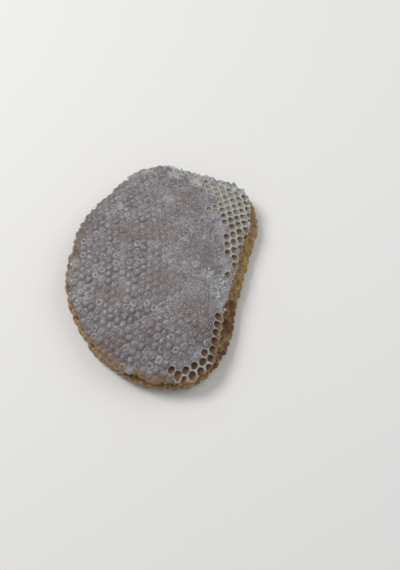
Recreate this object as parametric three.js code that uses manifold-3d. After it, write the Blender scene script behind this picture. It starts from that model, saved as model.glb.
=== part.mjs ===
// A torn-off piece of capped honeycomb, lying flat.
// Millimetres, +Z up. It rests on z = 0, with its longest way along Y and the origin under its middle.
import * as THREE from 'three';
import { mergeVertices } from 'three/addons/utils/BufferGeometryUtils.js';
import Module from 'manifold-3d';

// Lattice of cells: columns run along Y, and bow back from +X towards both ends
const cellPitch = 5.3;            // middle to middle of two neighbours
const columnPitch = cellPitch * Math.cos(Math.PI / 6);
const columnBow = 0.0019;         // sideways shift for each mm squared from the middle
const frontStretch = 0.0009;      // towards -Y the cells grow longer, for each mm squared
const frontStretchStart = -18;    // from here on
const backSqueeze = 0.14;         // towards +Y they stand closer by this share
const backSqueezeStart = 31;
const cellStray = 0.3;            // how far a cell may stand off the lattice, from end to end

// Distance from the middle to the tear every 15 degrees, anticlockwise from +X, seen from above. The tear
// leaves more of the lower layer, most of all along the right side
const upperTear = [
  51.8, 57.2, 70.8, 83.2, 80.0, 78.2,
  80.6, 77.2, 68.8, 66.3, 63.9, 61.4,
  61.9, 62.6, 63.0, 65.6, 70.2, 74.8,
  78.3, 81.2, 74.0, 60.5, 51.6, 49.9,
];
const lowerTear = [
  57.4, 64.0, 77.8, 85.0, 80.8, 78.6,
  79.9, 77.2, 69.6, 66.6, 64.3, 62.4,
  63.0, 64.0, 64.8, 67.6, 72.2, 76.2,
  79.2, 80.9, 75.0, 66.6, 58.8, 55.8,
];

// Heights
const edgeHeight = 15.4;          // upper face at the torn edge
const domeRise = 13.2;            // how much higher the middle stands
const domePower = 2.6;            // flat in the middle, steep at the edge
const waves = { height: 0.45, lengthX: 58, lengthY: 72, phaseX: 0.6, phaseY: -0.4 };
const torn = { from: 0.94, drop: 1.2, openDrop: 2.8 };  // broken walls on the edge fall short
const notch = { fill: 0.7, most: 1.6 };  // steps between the cells on the edge are smeared shut
const restReach = 0.5;            // the part of the underside that is pressed flat
const undersideLift = 2.8;        // how far the edge is clear of the table
const midribHeight = 9;           // the sheet of wax between the two layers of cells
const midribThickness = 1.2;
const ledge = { drop: 2.4, width: 7, pit: 0.8 };  // the midrib slopes down beyond the upper layer

// Cells
const capRise = 0.8;              // middle of a capping above its walls
const capRiseSpread = 0.4;
const undersideCapDepth = 0.45;
const undersideCapFade = 4;       // the cappings below fill out soon after the flat part
const mouthShare = 0.72;          // open cell's mouth, as a share of its outer size
const bellyShare = 0.78;          // the cell is wider under its thick rim
const rimDrop = 0.25;
const honeyDepth = 2.3;           // from the rim down to what fills the cell
const honeyDepthSpread = 1.0;
const meniscusDrop = 0.3;

// Cells left open: ovals on the upper face, single cells, and a band along the front right edge
const openOvals = [
  { x: 52.5, y: 41, halfWidth: 10.5, halfLength: 19 },
  { x: 52, y: 16, halfWidth: 8.5, halfLength: 15 },
  { x: 40, y: 48, halfWidth: 3.4, halfLength: 10 },
];
const openSingles = [{ x: 34.7, y: 43 }, { x: 46.5, y: -3 }];
const openBand = { from: -84, to: -39, reach: 0.87 };  // degrees, and share of the way to the edge

// The lower cells meet the upper ones corner to middle
const upperLayer = { tear: upperTear, shift: 0, salt: 1 };
const lowerLayer = { tear: lowerTear, shift: cellPitch / Math.sqrt(3), salt: 3 };
const smallestCell = 0.5;         // a cut cell stays on if its middle is this far inside the tear
const searchColumns = 24;
const searchRows = 50;
const tornSalt = 5;
const capSalt = 9;
const depthSalt = 11;

// Six neighbours as steps in column and row, anticlockwise from the one up and to the right
const neighbours = [[1, 0], [0, 1], [-1, 1], [-1, 0], [0, -1], [1, -1]];

// From 0 to 1, and the same for the same numbers every time
function randomAt(a, b, salt) {
  const value = Math.sin(a * 127.1 + b * 311.7 + salt * 74.7) * 43758.5453;
  return value - Math.floor(value);
}

function clampShare(value) {
  return THREE.MathUtils.clamp(value, 0, 1);
}

// A smooth closed curve through the distances to the tear
function tearRadius(tear, x, y) {
  const count = tear.length;
  const turn = (Math.atan2(y, x) / (2 * Math.PI) + 1) * count;
  const index = Math.floor(turn);
  const t = turn - index;
  const [a, b, c, d] = [-1, 0, 1, 2].map((k) => tear[(index + k) % count]);
  const bend = (2 * a - 5 * b + 4 * c - d) * t * t + (3 * b - a - 3 * c + d) * t * t * t;
  return (2 * b + (c - a) * t + bend) / 2;
}

// 0 in the middle of the piece and 1 on the tear
function reachAt(tear, x, y) {
  return Math.hypot(x, y) / tearRadius(tear, x, y);
}

function inOpenBand(x, y) {
  const degrees = THREE.MathUtils.radToDeg(Math.atan2(y, x));
  return degrees > openBand.from && degrees < openBand.to && reachAt(upperTear, x, y) > openBand.reach;
}

function isOpen(x, y) {
  const inOval = openOvals.some((oval) => {
    return Math.hypot((x - oval.x) / oval.halfWidth, (y - oval.y) / oval.halfLength) < 1;
  });
  const isSingle = openSingles.some((single) => Math.hypot(x - single.x, y - single.y) < cellPitch / 2);
  return inOval || isSingle || inOpenBand(x, y);
}

// How far the walls fall short of the dome where the comb was torn
function tornDrop(x, y) {
  const share = clampShare((reachAt(upperTear, x, y) - torn.from) / (1 - torn.from));
  const most = inOpenBand(x, y) ? torn.openDrop : torn.drop;
  return most * share * randomAt(Math.round(x), Math.round(y), tornSalt);
}

function upperHeight(x, y) {
  const dome = domeRise * (1 - reachAt(upperTear, x, y) ** domePower);
  const waveX = Math.sin(2 * Math.PI * x / waves.lengthX + waves.phaseX);
  const waveY = Math.cos(2 * Math.PI * y / waves.lengthY + waves.phaseY);
  return edgeHeight + dome + waves.height * waveX * waveY - tornDrop(x, y);
}

// 0 where the underside is pressed flat, growing to 1 on the edge
function liftShare(x, y) {
  return Math.max((reachAt(lowerTear, x, y) - restReach) / (1 - restReach), 0);
}

function lowerHeight(x, y) {
  return undersideLift * liftShare(x, y) ** 2;
}

function undersideGroove(x, y) {
  return lowerHeight(x, y) + undersideCapDepth * clampShare(liftShare(x, y) * undersideCapFade);
}

// Top of the lower layer, which is the midrib and what the tear left of it beyond the upper layer
function midribTop(x, y) {
  const bare = Math.hypot(x, y) - tearRadius(upperTear, x, y);
  return midribHeight + midribThickness / 2 - ledge.drop * clampShare(bare / ledge.width);
}

function cellMiddle(column, row, layer) {
  const alongX = column * columnPitch + layer.shift;
  const alongY = (row + column / 2) * cellPitch;
  const front = Math.min(alongY - frontStretchStart, 0);
  const back = Math.max(alongY - backSqueezeStart, 0);
  const strayX = cellStray * (randomAt(column, row, layer.salt) - 0.5);
  const strayY = cellStray * (randomAt(column, row, layer.salt + 1) - 0.5);
  return new THREE.Vector3(
    alongX - columnBow * alongY * alongY + strayX,
    alongY - frontStretch * front * front - backSqueeze * back + strayY,
    0,
  );
}

// Corner k lies between the middles of the cell and of its neighbours k - 1 and k, or on the tear
function cellCorner(cell, k, layer) {
  const corner = cell.middle.clone();
  for (const [columns, rows] of [neighbours[(k + 5) % 6], neighbours[k]]) {
    corner.add(cellMiddle(cell.column + columns, cell.row + rows, layer));
  }
  corner.divideScalar(3);
  return corner.clampLength(0, tearRadius(layer.tear, corner.x, corner.y));
}

function nameOf(column, row) {
  return `${column},${row}`;
}

// True if the tear took the cell's neighbour k
function isFree(cells, cell, k) {
  const [columns, rows] = neighbours[k];
  return !cells.has(nameOf(cell.column + columns, cell.row + rows));
}

// Wax smeared along the tear carries a corner on the edge out towards it
function fillNotch(corner, layer) {
  const distance = corner.length();
  const gap = Math.max(tearRadius(layer.tear, corner.x, corner.y) - distance, 0);
  corner.setLength(distance + Math.min(gap * notch.fill, notch.most));
}

// Every cell of a layer whose middle lies inside the tear
function cellsOf(layer) {
  const cells = new Map();
  for (let column = -searchColumns; column <= searchColumns; column += 1) {
    for (let row = -searchRows; row <= searchRows; row += 1) {
      const middle = cellMiddle(column, row, layer);
      if (middle.length() < tearRadius(layer.tear, middle.x, middle.y) - smallestCell) {
        const cell = { column, row, middle };
        cell.corners = neighbours.map((_, k) => cellCorner(cell, k, layer));
        cells.set(nameOf(column, row), cell);
      }
    }
  }
  for (const cell of cells.values()) {
    cell.corners.forEach((corner, k) => {
      if (isFree(cells, cell, k) || isFree(cells, cell, (k + 5) % 6)) fillNotch(corner, layer);
    });
  }
  return cells;
}

function atHeight(points, height) {
  return points.map((p) => new THREE.Vector3(p.x, p.y, height(p.x, p.y)));
}

// A ring drawn in towards the middle of its cell, and set lower
function drawnIn(ring, middle, share, drop) {
  return ring.map((p) => new THREE.Vector3(
    middle.x + (p.x - middle.x) * share,
    middle.y + (p.y - middle.y) * share,
    p.z - drop,
  ));
}

function meanHeight(ring) {
  return ring.reduce((sum, p) => sum + p.z, 0) / ring.length;
}

// Triangles that together close round a solid
class Skin {
  constructor() {
    this.positions = [];
  }

  triangle(a, b, c) {
    for (const p of [a, b, c]) this.positions.push(p.x, p.y, p.z);
  }

  quad(a, b, c, d) {
    this.triangle(a, b, c);
    this.triangle(a, c, d);
  }

  // A ring closed by a point at the middle of its cell
  fan(ring, middle, height) {
    const tip = new THREE.Vector3(middle.x, middle.y, height);
    ring.forEach((p, k) => this.triangle(tip, p, ring[(k + 1) % ring.length]));
  }

  // A strip between two rings that run the same way, the outer one first
  strip(outer, inner) {
    outer.forEach((p, k) => {
      const next = (k + 1) % outer.length;
      this.quad(p, outer[next], inner[next], inner[k]);
    });
  }

  solid(wasm) {
    const loose = new THREE.BufferGeometry();
    loose.setAttribute('position', new THREE.Float32BufferAttribute(this.positions, 3));
    const merged = mergeVertices(loose, 1e-3);
    return new wasm.Manifold(new wasm.Mesh({
      numProp: 3,
      vertProperties: merged.attributes.position.array,
      triVerts: new Uint32Array(merged.index.array),
    }));
  }
}

function addCapping(skin, cell, ring) {
  const rise = capRise + capRiseSpread * (randomAt(cell.column, cell.row, capSalt) - 0.5);
  skin.fan(ring, cell.middle, meanHeight(ring) + rise);
}

function addOpenCell(skin, cell, ring) {
  const depth = honeyDepth + honeyDepthSpread * (randomAt(cell.column, cell.row, depthSalt) - 0.5);
  const level = meanHeight(ring) - depth;
  const mouth = drawnIn(ring, cell.middle, mouthShare, rimDrop);
  const honey = drawnIn(ring, cell.middle, bellyShare, 0);
  for (const p of honey) p.z = level;
  skin.strip(ring, mouth);
  skin.strip(mouth, honey);
  skin.fan(honey, cell.middle, level - meniscusDrop);
}

// The torn side: a wall under every edge of a cell that has no neighbour there
function addTornSide(skin, cells, top, bottom) {
  for (const cell of cells.values()) {
    neighbours.forEach((_, k) => {
      if (!isFree(cells, cell, k)) return;
      const edge = [cell.corners[k], cell.corners[(k + 1) % 6]];
      const [topA, topB] = atHeight(edge, top);
      const [bottomA, bottomB] = atHeight(edge, bottom);
      skin.quad(topB, topA, bottomA, bottomB);
    });
  }
}

// Cells that open or are capped on the upper face, down into the midrib
function buildUpperLayer(wasm) {
  const cells = cellsOf(upperLayer);
  const skin = new Skin();
  const foot = midribHeight - midribThickness / 2;
  for (const cell of cells.values()) {
    const ring = atHeight(cell.corners, upperHeight);
    const addTop = isOpen(cell.middle.x, cell.middle.y) ? addOpenCell : addCapping;
    addTop(skin, cell, ring);
    skin.fan(atHeight(cell.corners, () => foot).reverse(), cell.middle, foot);
  }
  addTornSide(skin, cells, upperHeight, () => foot);
  return skin.solid(wasm);
}

// Cells that are capped on the underside, up into the midrib
function buildLowerLayer(wasm) {
  const cells = cellsOf(lowerLayer);
  const skin = new Skin();
  for (const cell of cells.values()) {
    const { x, y } = cell.middle;
    const pit = reachAt(upperTear, x, y) > 1 ? ledge.pit : 0;
    skin.fan(atHeight(cell.corners, undersideGroove).reverse(), cell.middle, lowerHeight(x, y));
    skin.fan(atHeight(cell.corners, midribTop), cell.middle, midribTop(x, y) - pit);
  }
  addTornSide(skin, cells, midribTop, undersideGroove);
  return skin.solid(wasm);
}

function toGeometry(solid) {
  const mesh = solid.getMesh();
  const geometry = new THREE.BufferGeometry();
  geometry.setAttribute('position', new THREE.Float32BufferAttribute(mesh.vertProperties, mesh.numProp));
  geometry.setIndex(new THREE.BufferAttribute(mesh.triVerts, 1));
  return geometry;
}

// Moves the origin to under the middle of the piece
function centre(geometry) {
  geometry.computeBoundingBox();
  const middle = geometry.boundingBox.getCenter(new THREE.Vector3());
  geometry.translate(-middle.x, -middle.y, -geometry.boundingBox.min.z);
  return geometry;
}

function buildComb(wasm) {
  const comb = buildUpperLayer(wasm).add(buildLowerLayer(wasm));
  const material = new THREE.MeshStandardMaterial({ color: 0xcbbfb6, roughness: 0.6, metalness: 0 });
  const mesh = new THREE.Mesh(centre(toGeometry(comb)), material);
  mesh.name = 'honeycomb';
  return mesh;
}

const wasm = await Module();
wasm.setup();

const group = new THREE.Group();
group.name = 'honeycomb_piece';
group.add(buildComb(wasm));

export default group;
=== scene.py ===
import math
import bpy
import numpy as np
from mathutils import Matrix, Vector, noise


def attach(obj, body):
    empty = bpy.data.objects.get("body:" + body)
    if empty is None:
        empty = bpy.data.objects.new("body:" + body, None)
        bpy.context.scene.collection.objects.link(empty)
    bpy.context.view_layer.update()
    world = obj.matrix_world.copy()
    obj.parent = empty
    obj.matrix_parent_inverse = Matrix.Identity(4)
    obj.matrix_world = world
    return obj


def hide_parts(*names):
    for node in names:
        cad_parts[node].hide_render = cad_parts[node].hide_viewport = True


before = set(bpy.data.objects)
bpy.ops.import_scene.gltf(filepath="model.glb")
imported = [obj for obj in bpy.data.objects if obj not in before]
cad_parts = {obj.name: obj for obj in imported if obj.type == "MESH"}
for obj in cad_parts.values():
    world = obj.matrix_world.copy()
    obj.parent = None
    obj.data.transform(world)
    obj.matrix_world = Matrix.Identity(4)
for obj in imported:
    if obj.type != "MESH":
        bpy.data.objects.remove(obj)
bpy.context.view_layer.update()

# A torn-off piece of capped honeycomb, lying flat. Lengths are in millimetres until a mesh is made.
mm = 0.001

comb = {  # the same lattice, tears and heights as the solid
    "cellPitch": 5.3,
    "columnBow": 0.0019,
    "frontStretch": 0.0009,
    "frontStretchStart": -18.0,
    "backSqueeze": 0.14,
    "backSqueezeStart": 31.0,
    "cellStray": 0.3,
    "upperTear": [  # middle to tear every 15 degrees, anticlockwise from +X
        51.8, 57.2, 70.8, 83.2, 80.0, 78.2, 80.6, 77.2, 68.8, 66.3, 63.9, 61.4,
        61.9, 62.6, 63.0, 65.6, 70.2, 74.8, 78.3, 81.2, 74.0, 60.5, 51.6, 49.9,
    ],
    "lowerTear": [
        57.4, 64.0, 77.8, 85.0, 80.8, 78.6, 79.9, 77.2, 69.6, 66.6, 64.3, 62.4,
        63.0, 64.0, 64.8, 67.6, 72.2, 76.2, 79.2, 80.9, 75.0, 66.6, 58.8, 55.8,
    ],
    "smallestCell": 0.5,
    "edgeHeight": 15.4,
    "domeRise": 13.2,
    "domePower": 2.6,
    "waveHeight": 0.45,
    "waveLengths": (58.0, 72.0),  # along x and y
    "wavePhases": (0.6, -0.4),
    "unevenness": 0.3,
    "unevenLength": 5.0,
    "bandDrop": 1.4,
    "notchFill": 0.7,  # wax smeared along the tear shuts the steps between cells
    "notchMost": 1.6,
    "restReach": 0.5,
    "undersideLift": 2.8,
    "undersideCapDepth": 0.45,
    "undersideCapFade": 4.0,
    "midribHeight": 9.0,
    "midribThickness": 1.2,
    "ledgeDrop": 2.4,  # the midrib slopes down where the upper layer is gone
    "ledgeWidth": 7.0,
    "sideSamples": 3,  # points along each side of a cell
    "laidOut": (24, 50),  # columns and rows of cells each way from the middle, before the tear cuts them
}

neighbours = np.array([(1, 0), (0, 1), (-1, 1), (-1, 0), (0, -1), (1, -1)])
samplesRound = 6 * comb["sideSamples"]


def smooth(low, high, value):
    share = np.clip((value - low) / (high - low), 0, 1)
    return share * share * (3 - 2 * share)


# A random share for each cell, the same in every run
def randomAt(a, b, salt):
    value = np.sin(a * 127.1 + b * 311.7 + salt * 74.7) * 43758.5453
    return value - np.floor(value)


# Uneven wax, from -1 to 1, the same wherever two meshes share a point
def lumps(points, size, seed, octaves=2):
    shift = Vector((seed * 13.7, seed * 7.9, seed * 3.1))
    flat = points.reshape(-1, 3) / size
    values = [noise.fractal(Vector(p) + shift, 0.9, 2.1, octaves) for p in flat]
    return np.array(values).reshape(points.shape[:-1])


def withZ(xy, z):
    return np.concatenate([xy, np.broadcast_to(z, xy.shape[:-1])[..., None]], axis=-1)


def lengthOf(xy):
    return np.linalg.norm(xy, axis=-1)


def distanceTo(xy, x, y):
    return np.hypot(xy[..., 0] - x, xy[..., 1] - y)


def bell(distance, width):
    return np.exp(-(distance / width) ** 2)


def onCircle(turns):
    return np.stack([np.cos(turns), np.sin(turns)], axis=-1)


def degreesOf(xy):
    return np.degrees(np.arctan2(xy[..., 1], xy[..., 0])) % 360


def tearRadius(tear, xy):
    radii = np.array(comb[tear])
    turn = degreesOf(xy) / 360 * len(radii)
    index = np.floor(turn).astype(int)
    t = turn - index
    a, b, c, d = (radii[(index + k) % len(radii)] for k in (-1, 0, 1, 2))
    bend = (2 * a - 5 * b + 4 * c - d) * t ** 2 + (3 * b - a - 3 * c + d) * t ** 3
    return (2 * b + (c - a) * t + bend) / 2


def reachAt(tear, xy):
    return lengthOf(xy) / tearRadius(tear, xy)


# 1 along a stretch of the edge: degrees where its start comes in and where its end goes out
def alongEdge(xy, ends):
    degrees = degreesOf(xy)
    return smooth(ends[0], ends[1], degrees) * (1 - smooth(ends[2], ends[3], degrees))


def upperHeight(xy):
    turns = 2 * math.pi * xy / comb["waveLengths"] + comb["wavePhases"]
    wave = comb["waveHeight"] * np.sin(turns[..., 0]) * np.cos(turns[..., 1])
    dome = comb["domeRise"] * (1 - reachAt("upperTear", xy) ** comb["domePower"])
    uneven = comb["unevenness"] * lumps(withZ(xy, 0.0), comb["unevenLength"], 31)
    uneven -= comb["bandDrop"] * tornBand(xy) + mergedDip(xy)
    return comb["edgeHeight"] + dome + wave + uneven


# Where the wall between two open cells is gone
def mergedDip(xy):
    dips = [np.exp(-(distanceTo(xy, x, y) / openCells["mergedWidth"]) ** 4) for x, y in openCells["merged"]]
    return openCells["mergedDepth"] * sum(dips)


# The outermost open cells of the front right edge are torn low and wet with honey
def tornBand(xy):
    return alongEdge(xy, openCells["tornEnds"]) * smooth(*openCells["tornReach"], reachAt("upperTear", xy))


# Most of these, and some next to them, have lost their white rims
def bareBand(xy):
    return alongEdge(xy, openCells["bareEnds"]) * smooth(*openCells["bareReach"], reachAt("upperTear", xy))


def liftShare(xy):
    return np.maximum((reachAt("lowerTear", xy) - comb["restReach"]) / (1 - comb["restReach"]), 0)


def lowerHeight(xy):
    return comb["undersideLift"] * liftShare(xy) ** 2


def undersideGroove(xy):
    fade = np.clip(liftShare(xy) * comb["undersideCapFade"], 0, 1)
    return lowerHeight(xy) + comb["undersideCapDepth"] * fade


def footOfUpper(xy):
    return np.full(xy.shape[:-1], comb["midribHeight"] - comb["midribThickness"] / 2)


def headOfLower(xy):
    bare = (lengthOf(xy) - tearRadius("upperTear", xy)) / comb["ledgeWidth"]
    return comb["midribHeight"] + comb["midribThickness"] / 2 - comb["ledgeDrop"] * np.clip(bare, 0, 1)


def cellMiddle(cells, layer):
    column, row = cells[..., 0], cells[..., 1]
    alongX = column * comb["cellPitch"] * math.cos(math.pi / 6) + layer["shift"]
    alongY = (row + column / 2) * comb["cellPitch"]
    front = np.minimum(alongY - comb["frontStretchStart"], 0)
    back = np.maximum(alongY - comb["backSqueezeStart"], 0)
    strayX = comb["cellStray"] * (randomAt(column, row, layer["salt"]) - 0.5)
    strayY = comb["cellStray"] * (randomAt(column, row, layer["salt"] + 1) - 0.5)
    x = alongX - comb["columnBow"] * alongY ** 2 + strayX
    y = alongY - comb["frontStretch"] * front ** 2 - comb["backSqueeze"] * back + strayY
    return np.stack([x, y], axis=-1)


# Cells of one layer: middles, corners cut to the tear, points round the sides, and which sides stand free
def layCells(tear, shift, salt):
    layer = {"shift": shift, "salt": salt}
    laidOut = np.array(comb["laidOut"])
    cells = np.indices(2 * laidOut + 1).reshape(2, -1).T - laidOut
    middles = cellMiddle(cells, layer)
    inside = lengthOf(middles) < tearRadius(tear, middles) - comb["smallestCell"]
    cells, middles = cells[inside], middles[inside]
    around = np.stack([cellMiddle(cells + step, layer) for step in neighbours], axis=1)
    corners = (middles[:, None] + around + np.roll(around, 1, axis=1)) / 3
    known = {tuple(cell) for cell in cells}
    free = np.array([[tuple(cell + step) not in known for step in neighbours] for cell in cells])
    gap = tearRadius(tear, corners) - lengthOf(corners)
    smeared = np.clip(gap * comb["notchFill"], 0, comb["notchMost"]) * (free | np.roll(free, 1, axis=1))
    corners = corners * (1 + np.where(gap < 0, gap, smeared) / lengthOf(corners))[..., None]
    t = np.arange(comb["sideSamples"])[None, None, :, None] / comb["sideSamples"]
    sides = corners[:, :, None] * (1 - t) + np.roll(corners, -1, axis=1)[:, :, None] * t
    layer.update(cells=cells, middles=middles, corners=corners, free=free)
    layer["sides"] = sides.reshape(len(cells), samplesRound, 2)
    layer["random"] = lambda n: randomAt(cells[:, 0], cells[:, 1], 20 + n + salt)
    return layer


upper = layCells("upperTear", 0.0, 1)
lower = layCells("lowerTear", comb["cellPitch"] / math.sqrt(3), 3)
allCorners = np.concatenate([layer["corners"].reshape(-1, 2) for layer in (upper, lower)])
boxMiddle = (allCorners.min(axis=0) + allCorners.max(axis=0)) / 2  # the origin goes under this point
print("cells:", len(upper["cells"]), "above,", len(lower["cells"]), "below")

openCells = {
    "ovals": [(52.5, 41, 10.5, 19), (52, 16, 8.5, 15), (40, 48, 3.4, 10)],  # x, y, half width, half length
    "singles": [(34.7, 43), (46.5, -3)],
    "bandFrom": 276.0,  # degrees, along the front right edge
    "bandTo": 321.0,
    "bandReach": 0.87,
    "shallows": [(41, 58.5, 11.5, 5.2), (34, 64, 6, 4)],  # never capped: low, pale and nearly empty
    "merged": [(16.6, -72.7), (39.9, -50.4), (31.0, -64.4)],  # where the wall between two cells is gone
    "mergedDepth": 2.0,
    "mergedWidth": 1.3,
    "tornEnds": (296, 302, 316, 322),  # degrees, and below it the share of the way to the tear
    "tornReach": (0.925, 0.975),
    "bareEnds": (296, 302, 310, 315),
    "bareReach": (0.87, 0.94),
    "mouthRadius": 2.0,
    "mouthWall": 0.3,  # least wax between a mouth and the line where two cells meet
    "bellyRadius": 2.2,  # wider under the thick rim
    "bellyWall": 0.16,
    "usualReach": 2.85,  # from the middle of a cell to its sides
    "honeyDepth": 1.9,
    "honeyDepthSpread": 0.8,
    "shallower": 0.4,  # how much less deep the never capped ones are
    "paleAlong": (24, 46),  # y: towards the back the open cells are shallower and paler
    "amberAlong": (-34, -20),  # y: towards the front the honey in them is darker
    "profile": [  # share of the way from the side to the mouth, from mouth to belly, depth
        (0.0, 0.0, 0.0), (0.3, 0.0, -0.14), (0.62, 0.0, -0.08), (0.88, 0.0, 0.12), (1.0, 0.0, 0.42),
        (1.0, 0.15, 0.75), (1.0, 0.6, 1.3), (1.0, 1.0, 2.2),
    ],
    "bottom": [(0.0, 0.8), (0.5, 1.1)],  # share of the way to the middle, and depth under the honey's top
    "honeySkin": [  # share of the way to the wall, and rise: it creeps up there and sags inside
        (1.0, -0.35), (1.0, 0.12), (0.9, 0.04), (0.7, -0.05), (0.4, -0.1),
    ],
    "honeyOverlap": 0.2,  # into the wax
    "lumpHeight": 0.16,
    "wallSwing": 0.14,  # how far the walls wander, and how much more at the front
    "amberSwing": 0.1,
}


def inOvals(xy, ovals):
    found = np.zeros(xy.shape[:-1], bool)
    for x, y, halfWidth, halfLength in ovals:
        found |= np.hypot((xy[..., 0] - x) / halfWidth, (xy[..., 1] - y) / halfLength) < 1
    return found


def isOpen(xy):
    half = comb["cellPitch"] / 2
    found = inOvals(xy, openCells["ovals"] + [(x, y, half, half) for x, y in openCells["singles"]])
    inBand = (degreesOf(xy) > openCells["bandFrom"]) & (degreesOf(xy) < openCells["bandTo"])
    return found | (inBand & (reachAt("upperTear", xy) > openCells["bandReach"]))


upper["shallow"] = inOvals(upper["middles"], openCells["shallows"]) & ~isOpen(upper["middles"])
upper["open"] = isOpen(upper["middles"]) | upper["shallow"]


# What the materials read at each point, as shares from 0 to 1. Chance is one cell's own, tint a patch's
lookNames = ["crest", "chance", "warm", "crust", "golden", "tan", "fine", "tint"]


def gatherLooks(solid, **shares):
    looks = np.zeros(solid.shape[:-1] + (len(lookNames),))
    for name, share in shares.items():
        looks[..., lookNames.index(name)] = share
    return looks


# A skin gathers points, each with its looks, and faces, each with a material slot
def newSkin():
    return {"points": [], "looks": [], "faces": [], "slots": [], "count": 0}


def addPoints(skin, points, looks):
    first = skin["count"]
    flat = points.reshape(-1, 3)
    skin["points"].append(flat)
    skin["looks"].append(np.broadcast_to(looks, points.shape[:-1] + looks.shape[-1:]).reshape(len(flat), -1))
    skin["count"] += len(flat)
    return first


def addFaces(skin, faces, slot):
    skin["faces"].extend(faces.tolist())
    skin["slots"].extend([slot] * len(faces))


# Rings of points (cell, ring, sample, xyz) from outside in, closed by a tip or by their mean. A turn of -1
# faces them the other way
def addRings(skin, rings, looks, slot, tips=None, turn=1, closed=True):
    cellCount, ringCount, around = rings.shape[:3]
    first = addPoints(skin, rings, looks)
    c, r, k = np.indices((cellCount, ringCount - 1, around))
    after = (k + 1) % around
    outer = first + (c * ringCount + r) * around
    quads = np.stack([outer + k, outer + after, outer + around + after, outer + around + k], axis=-1)
    addFaces(skin, quads.reshape(-1, 4)[:, ::turn], slot)
    if closed:
        tips = rings[:, -1].mean(axis=1) if tips is None else tips
        firstTip = addPoints(skin, tips, looks[:, -1].mean(axis=1))
        c, k = np.indices((cellCount, around))
        last = first + (c * ringCount + ringCount - 1) * around
        fans = np.stack([last + k, last + (k + 1) % around, firstTip + c], axis=-1)
        addFaces(skin, fans.reshape(-1, 3)[:, ::turn], slot)


# A sheet of points (row, column, xyz) down the torn side, its columns running anticlockwise
def addSheet(skin, sheet, looks, slot):
    rows, columns = sheet.shape[:2]
    first = addPoints(skin, sheet, looks)
    r, k = np.indices((rows - 1, columns - 1))
    corner = first + r * columns + k
    quads = np.stack([corner + 1, corner, corner + columns, corner + columns + 1], axis=-1)
    addFaces(skin, quads.reshape(-1, 4), slot)


def newObject(name, data):
    made = bpy.data.objects.new(name, data)
    bpy.context.collection.objects.link(made)
    return made


weldDistance = 0.002  # points that lie closer are one


def makePiece(name, skin, materials):
    points = np.concatenate(skin["points"])
    looks = np.concatenate(skin["looks"])
    grid = np.round(points / weldDistance).astype(np.int64)
    _, keep, where = np.unique(grid, axis=0, return_index=True, return_inverse=True)
    where = where.ravel()
    faces = []
    slots = []
    for face, slot in zip(skin["faces"], skin["slots"]):
        face = list(dict.fromkeys(where[face].tolist()))
        if len(face) > 2:
            faces.append(face)
            slots.append(slot)
    placed = (points[keep] - np.append(boxMiddle, 0)) * mm
    mesh = bpy.data.meshes.new(name)
    mesh.from_pydata(placed.tolist(), [], faces)
    mesh.polygons.foreach_set("material_index", slots)
    mesh.polygons.foreach_set("use_smooth", [True] * len(faces))
    for attribute, channels in (("look", looks[keep, :4]), ("stain", looks[keep, 4:])):
        colours = mesh.color_attributes.new(attribute, "FLOAT_COLOR", "POINT")
        colours.data.foreach_set("color", channels.astype(np.float32).ravel())
    for material in materials:
        mesh.materials.append(material)
    mesh.update()
    piece = newObject(name, mesh)
    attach(piece, "root")
    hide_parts("honeycomb")
    triangles = sum(len(face) - 2 for face in faces)
    print("made", name, len(keep), "points", triangles, "triangles")


# The torn edge. A cell there shows a run of free sides; its wall is whole and bulges, or broken and hollow
tear = {
    "rowShares": np.array([0, 0.03, 0.07, 0.12, 0.2, 0.3, 0.42, 0.55, 0.68, 0.8, 0.9, 1.0]),
    "calmEnds": (174, 198, 266, 286),  # degrees: on the front left the side is smooth and whole
    "calm": 0.9,
    "backLeftEnds": (92, 108, 184, 196),  # here it is torn into teeth
    "backTeeth": 1.0,  # how much rougher it is there
    "backScallop": 1.3,
    "upperScallop": 0.4,  # how far the side draws in between two cells
    "lowerScallop": 1.1,
    "scallopSize": 8.0,
    "roundness": 0.35,
    "lowerRounder": 1.7,
    "bulge": 0.22,  # of a whole wall
    "brokenShare": 0.6,
    "hollowDepth": 1.8,  # how far a broken cell is hollow behind the line of its ends
    "hollowWidth": 4.5,  # a narrower one is less hollow
    "wallBehind": 1.4,  # how far past the middle a hollow may go
    "wholeDepth": 0.12,  # a whole wall's share of the hollow
    "nibble": 0.7,  # how much of the hollow shows as bites in the capping
    "lumpSize": 2.6,
    "roughness": 0.4,
    "streakSize": 0.9,
    "streakStretch": 0.3,
    "streaks": 0.16,
    "drawnIn": 0.12,
    "wetSize": 5.0,  # patches of honey on the calm side
}


def calmness(xy):
    return tear["calm"] * alongEdge(xy, tear["calmEnds"])


def backLeft(xy):
    return alongEdge(xy, tear["backLeftEnds"])


# Where each run of free sides of a cell starts, and how many it has
def freeRuns(free):
    runs = []
    for start in range(6):
        if free[start] and not free[start - 1]:
            length = 1
            while free[(start + length) % 6]:
                length += 1
            runs.append((start, length))
    return runs


# Roughness of the torn side, the same wherever two cells meet
def sideRoughness(points):
    xy = points[..., :2]
    rough = tear["roughness"] * lumps(points, tear["lumpSize"], 3, 3)
    rough += tear["streaks"] * lumps(points * (1, 1, tear["streakStretch"]), tear["streakSize"], 4)
    rough *= 1 + tear["backTeeth"] * backLeft(xy)
    outward = xy / lengthOf(xy)[..., None]
    return outward * (rough * (1 - 0.25 * calmness(xy)) - tear["drawnIn"])[..., None]


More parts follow.
